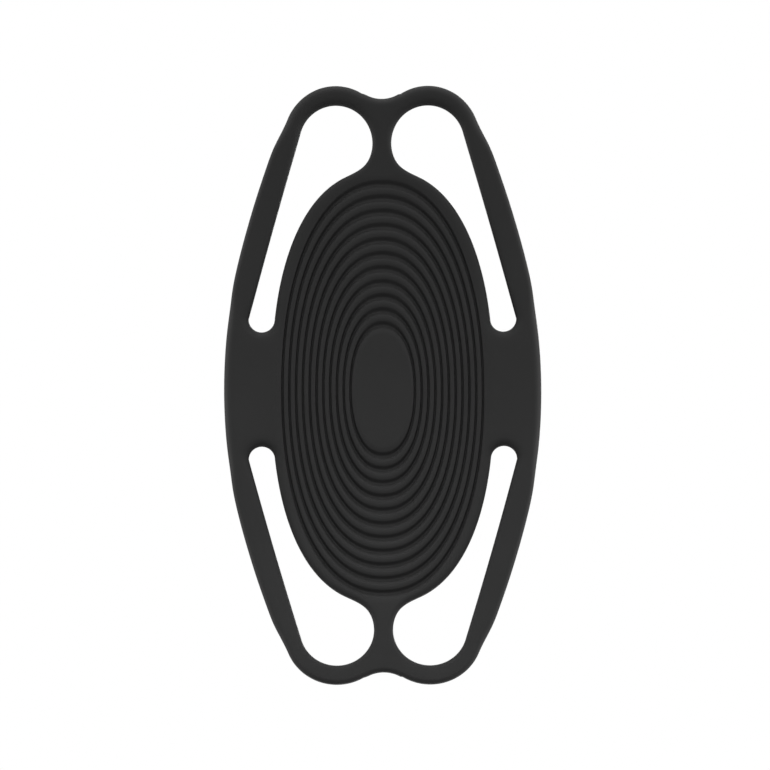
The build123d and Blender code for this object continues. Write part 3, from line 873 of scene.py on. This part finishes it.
def make_turned():
    """Fine tool rings about the Y axis, as turning leaves them."""
    tree, source, result = group_tree(
        "turned_rings",
        [
            ("Vector", "NodeSocketVector", None),
            ("Rings", "NodeSocketFloat", 900.0),
            ("Low", "NodeSocketFloat", 0.25),
            ("High", "NodeSocketFloat", 0.4),
        ],
        [("Value", "NodeSocketFloat"), ("Height", "NodeSocketFloat")],
    )
    wave = node(tree, "ShaderNodeTexWave", wave_type="RINGS", rings_direction="Y")
    wave.inputs["Distortion"].default_value = 1.2
    wave.inputs["Detail"].default_value = 3
    tree.links.new(source.outputs["Vector"], wave.inputs["Vector"])
    tree.links.new(source.outputs["Rings"], wave.inputs["Scale"])
    spread = node(tree, "ShaderNodeMapRange")
    tree.links.new(wave.outputs["Fac"], spread.inputs["Value"])
    tree.links.new(source.outputs["Low"], spread.inputs["To Min"])
    tree.links.new(source.outputs["High"], spread.inputs["To Max"])
    tree.links.new(spread.outputs["Result"], result.inputs["Value"])
    tree.links.new(wave.outputs["Fac"], result.inputs["Height"])
    return tree


EFFECTS = {
    "grain": make_mould_grain(),
    "patchy": make_patchy(),
    "handled": make_handled(),
    "turned": make_turned(),
}


# ---------------------------------------------------------------- materials
def effect(tree, name, place, **values):
    """One shared effect placed in a material, with its own values."""
    made = node(tree, "ShaderNodeGroup", node_tree=EFFECTS[name])
    tree.links.new(place.outputs["Object"], made.inputs["Vector"])
    for label, value in values.items():
        made.inputs[label.replace("_", " ")].default_value = value
    return made


def new_material(name):
    """A material with its node tree and its Principled shader."""
    material = bpy.data.materials.new(name)
    material.use_nodes = True
    tree = material.node_tree
    return material, tree, tree.nodes["Principled BSDF"]


def bumped(tree, shader, source, strength, distance):
    """Feeds an effect's height to the shader as relief."""
    bump = node(tree, "ShaderNodeBump")
    bump.inputs["Strength"].default_value = strength
    bump.inputs["Distance"].default_value = distance
    tree.links.new(source.outputs["Height"], bump.inputs["Height"])
    tree.links.new(bump.outputs["Normal"], shader.inputs["Normal"])


def moulded(name, base, drift, roughness, grain, strength, specular, lint=0.03):
    """A moulded rubber or plastic: grain, drifting tone and gloss, and a trace of lint."""
    material, tree, shader = new_material(name)
    place = node(tree, "ShaderNodeTexCoord")
    colour = effect(tree, "handled", place, Base=(*base, 1), Drift=(*drift, 1), Lint_Amount=lint)
    gloss = effect(tree, "patchy", place, Low=roughness[0], High=roughness[1])
    skin = effect(tree, "grain", place, Grain_Scale=grain)
    tree.links.new(colour.outputs["Color"], shader.inputs["Base Color"])
    tree.links.new(gloss.outputs["Value"], shader.inputs["Roughness"])
    bumped(tree, shader, skin, strength, 0.04 * MM)
    shader.inputs["Specular IOR Level"].default_value = specular
    return material


def metal(name, base, drift, roughness, rings=900.0, strength=0.08):
    """A machined metal, with turning marks and a drifting tone."""
    material, tree, shader = new_material(name)
    place = node(tree, "ShaderNodeTexCoord")
    colour = effect(tree, "handled", place, Base=(*base, 1), Drift=(*drift, 1), Lint_Amount=0.0)
    marks = effect(tree, "turned", place, Rings=rings, Low=roughness[0], High=roughness[1])
    tree.links.new(colour.outputs["Color"], shader.inputs["Base Color"])
    tree.links.new(marks.outputs["Value"], shader.inputs["Roughness"])
    bumped(tree, shader, marks, strength, 0.02 * MM)
    shader.inputs["Metallic"].default_value = 1.0
    return material


def grey(value, blue=0.0):
    """A neutral colour, or one that is a touch cooler."""
    return (value, value, value + blue)


def make_finishes():
    """One material for each of the record's slots."""
    return {
        "band_silicone": moulded(
            "matt_black_silicone", grey(0.0213), grey(0.0233), (0.6, 0.7), 7000, 0.1, 0.08
        ),
        "strap_silicone": moulded(
            "matt_black_strap_silicone",
            grey(0.019, 0.0002), grey(0.022, 0.0002), (0.58, 0.68), 6000, 0.12, 0.13,
        ),
        "liner_rubber": moulded(
            "soft_grey_liner_rubber",
            grey(0.052, 0.002), grey(0.066, 0.003), (0.7, 0.82), 4500, 0.22, 0.25,
        ),
        "seal_rubber": moulded(
            "black_nitrile_rubber", grey(0.017), grey(0.021), (0.34, 0.44), 5000, 0.08, 0.5, 0.0
        ),
        "nylon_black": moulded(
            "black_glass_filled_nylon",
            grey(0.018, 0.0004), grey(0.023, 0.0004), (0.44, 0.56), 2600, 0.35, 0.22,
        ),
        "acetal_white": moulded(
            "white_acetal", grey(0.83, -0.03), grey(0.87, -0.03), (0.28, 0.36), 3000, 0.06, 0.5, 0.0
        ),
        "stainless": metal("satin_stainless", grey(0.6, 0.01), grey(0.65, 0.01), (0.26, 0.38)),
        "bright_steel": metal(
            "polished_steel", grey(0.73, 0.01), grey(0.77, 0.01), (0.06, 0.1), 600.0, 0.02
        ),
        "zinc_steel": metal(
            "zinc_plated_steel", (0.55, 0.56, 0.575), (0.62, 0.63, 0.64), (0.3, 0.45), 700.0
        ),
        "brass": metal("machined_brass", (0.75, 0.57, 0.26), (0.81, 0.63, 0.3), (0.24, 0.36)),
    }


def paint(piece, material):
    """Gives the whole piece one material."""
    piece.data.materials.clear()
    piece.data.materials.append(material)


# ---------------------------------------------------------------- studio
def make_studio():
    """A white backdrop, a pale floor and five soft lamps."""
    make_world()
    make_floor()
    for name, place, size, power in LAMPS:
        add_lamp(name, place, size, power)


def make_world():
    """A white backdrop that adds only a little light of its own."""
    world = bpy.data.worlds.new("studio")
    bpy.context.scene.world = world
    world.use_nodes = True
    tree = world.node_tree
    background = tree.nodes["Background"]
    seen = camera_or_mirror(tree)
    level = node(tree, "ShaderNodeMapRange")
    level.inputs["To Min"].default_value = WORLD_FILL
    level.inputs["To Max"].default_value = WORLD_SEEN
    tree.links.new(seen.outputs["Value"], level.inputs["Value"])
    tree.links.new(level.outputs["Result"], background.inputs["Strength"])
    background.inputs["Color"].default_value = (1, 1, 1, 1)


def camera_or_mirror(tree):
    """1 where the backdrop is seen straight, in a reflection or through glass."""
    path = node(tree, "ShaderNodeLightPath")
    mirrored = node(tree, "ShaderNodeMath", operation="MAXIMUM")
    tree.links.new(path.outputs["Is Camera Ray"], mirrored.inputs[0])
    tree.links.new(path.outputs["Is Glossy Ray"], mirrored.inputs[1])
    seen = node(tree, "ShaderNodeMath", operation="MAXIMUM")
    tree.links.new(mirrored.outputs["Value"], seen.inputs[0])
    tree.links.new(path.outputs["Is Transmission Ray"], seen.inputs[1])
    return seen


def make_floor():
    """A floor that takes the object's shadow, lifted to white where it is seen."""
    bpy.ops.object.select_all(action="DESELECT")
    bpy.ops.mesh.primitive_plane_add(size=FLOOR_SIZE, location=(0, 0, FLOOR_HEIGHT))
    floor = bpy.context.object
    floor.name = "floor"
    material, tree, shader = new_material("pale_floor")
    shader.inputs["Base Color"].default_value = (*grey(FLOOR_GREY), 1)
    shader.inputs["Roughness"].default_value = 0.9
    seen = camera_or_mirror(tree)
    share = node(tree, "ShaderNodeMath", operation="MULTIPLY")
    share.inputs[1].default_value = FLOOR_SEEN
    white = node(tree, "ShaderNodeEmission")
    both = node(tree, "ShaderNodeAddShader")
    tree.links.new(seen.outputs["Value"], share.inputs[0])
    tree.links.new(share.outputs["Value"], white.inputs["Strength"])
    tree.links.new(shader.outputs[0], both.inputs[0])
    tree.links.new(white.outputs[0], both.inputs[1])
    tree.links.new(both.outputs[0], tree.nodes["Material Output"].inputs["Surface"])
    paint(floor, material)


def add_lamp(name, place, size, power):
    """A round soft lamp that points at the middle of the object."""
    light = bpy.data.lights.new(name, "AREA")
    light.shape = "DISK"
    light.size = size
    light.energy = power
    lamp = bpy.data.objects.new(name, light)
    bpy.context.scene.collection.objects.link(lamp)
    lamp.location = place
    lamp.rotation_euler = (Vector(LAMP_AIM) - Vector(place)).to_track_quat("-Z", "Y").to_euler()


def make_camera():
    """The camera, in front of the pad and a little below it."""
    elevation = math.radians(CAMERA_ELEVATION)
    away = Vector((0, -math.cos(elevation), math.sin(elevation)))
    camera = bpy.data.cameras.new("camera")
    camera.sensor_width = SENSOR_WIDTH
    camera.lens = SENSOR_WIDTH * CAMERA_DISTANCE / VIEW_WIDTH
    seen = bpy.data.objects.new("camera", camera)
    bpy.context.scene.collection.objects.link(seen)
    seen.location = Vector(CAMERA_AIM) + away * CAMERA_DISTANCE
    roll = Quaternion((0, 0, 1), math.radians(CAMERA_ROLL))
    seen.rotation_euler = ((-away).to_track_quat("-Z", "Y") @ roll).to_euler()
    bpy.context.scene.camera = seen


# ---------------------------------------------------------------- the mount
def make_spring(side):
    """One detent spring, wound with closed ends. It is made at one length; the real one shortens as its
    ball is pressed back.
    """
    name = "detent_spring_" + side
    low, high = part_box(name)
    x = (low[0] + high[0]) / 2
    radius = (high[0] - low[0]) / 2 - WIRE_RADIUS * MM
    front, back = low[1] + WIRE_RADIUS * MM, high[1] - WIRE_RADIUS * MM
    samples = 26
    steps = int(SPRING_TURNS * samples)
    points = []
    for i in range(steps + 1):
        share = i / steps
        wound = min(max((share - 0.08) / 0.84, 0), 1)
        rise = wound * 0.9 + share * 0.1
        angle = 2 * math.pi * i / samples
        y = back + (front - back) * rise
        points.append((x + radius * math.cos(angle), y, radius * math.sin(angle)))
    curve = bpy.data.curves.new(name + "_wire", "CURVE")
    curve.dimensions = "3D"
    wire = curve.splines.new("POLY")
    wire.points.add(len(points) - 1)
    for point, place in zip(wire.points, points):
        point.co = (*place, 1)
    curve.bevel_depth = WIRE_RADIUS * MM
    curve.bevel_resolution = 3
    curve.use_fill_caps = True
    drawn = bpy.data.objects.new(name + "_line", curve)
    bpy.context.scene.collection.objects.link(drawn)
    only(drawn)
    bpy.ops.object.convert(target="MESH")
    spring = bpy.context.object
    spring.name = name + "_coil"
    bpy.ops.object.shade_smooth()
    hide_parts(name)
    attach(spring, "base")
    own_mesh(spring)
    paint(spring, finishes["zinc_steel"])


def make_rounded():
    """Hard parts whose moulded edges show, with those edges broken."""
    bodies = frame["record"]["behaviour"]["bodies"]
    for name, width in BROKEN_EDGES:
        piece = rounded_copy(name, width)
        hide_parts(name)
        body = next(body for body, nodes in bodies.items() if name in nodes)
        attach(piece, body)
        paint(piece, finishes[SLOTS[name]])


bpy.context.scene.view_settings.view_transform = "Standard"
SLOTS = {row["node"]: row["material_slot"] for row in frame["record"]["subparts"]}
finishes = make_finishes()
for name, piece in frame["nodes"].items():
    paint(piece, finishes[SLOTS[name]])
make_rounded()
make_spring("left")
make_spring("right")
band = make_band()
paint(band, finishes["band_silicone"])
paint(make_strap(), finishes["strap_silicone"])
paint(make_liner(), finishes["liner_rubber"])
make_studio()
make_camera()
